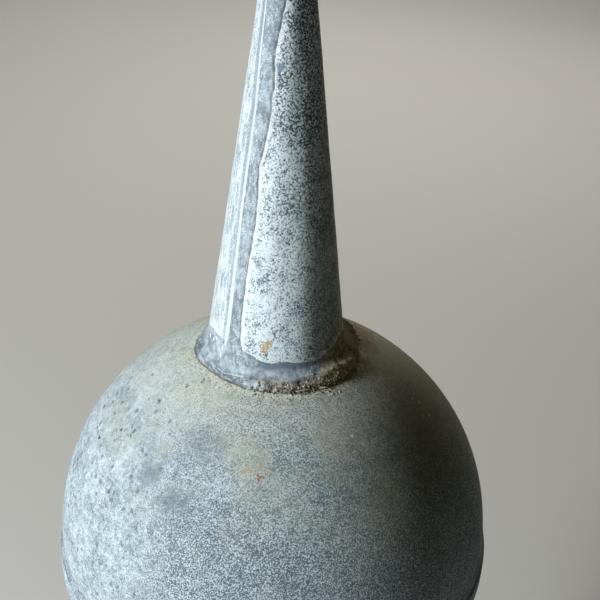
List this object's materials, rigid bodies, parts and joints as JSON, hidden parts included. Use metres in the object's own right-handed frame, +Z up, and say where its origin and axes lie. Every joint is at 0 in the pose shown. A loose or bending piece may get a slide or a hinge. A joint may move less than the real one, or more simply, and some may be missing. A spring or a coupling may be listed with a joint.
{
  "type": "roof finial",
  "caption": "Weathered sheet-zinc roof finial: a slender hollow spike with a soldered lap seam on a hollow spun ball, above a beaded neck and a flared base open underneath.",
  "frame": {"origin": "centre of the base's underside, on the surface it stands on", "axes": "+Z up along the spike, -Y the side the picture is taken from, +X to the viewer's right"},
  "size_m": [0.2302, 0.2302, 0.6308],
  "materials": {
    "spire_zinc": null,
    "ball_zinc": "weathered spun zinc, matte blue-grey and green-grey, mottled and speckled, with fine turning lines",
    "base_zinc": "weathered spun zinc, matte blue-grey, speckled, darker near the ground",
    "solder": "old tin-lead solder, smoother and darker than the sheet, with white bloom along its edges"
  },
  "bodies": {
    "root": {"spire": "spire_zinc", "spire_tip": "solder", "spire_seam_solder": "solder", "spire_foot_solder": "solder", "ball_upper": "ball_zinc", "equator_solder": "solder", "ball_lower": "ball_zinc", "neck_solder": "solder", "neck_bead": "base_zinc", "base_skirt": "base_zinc"}
  },
  "joints": []
}
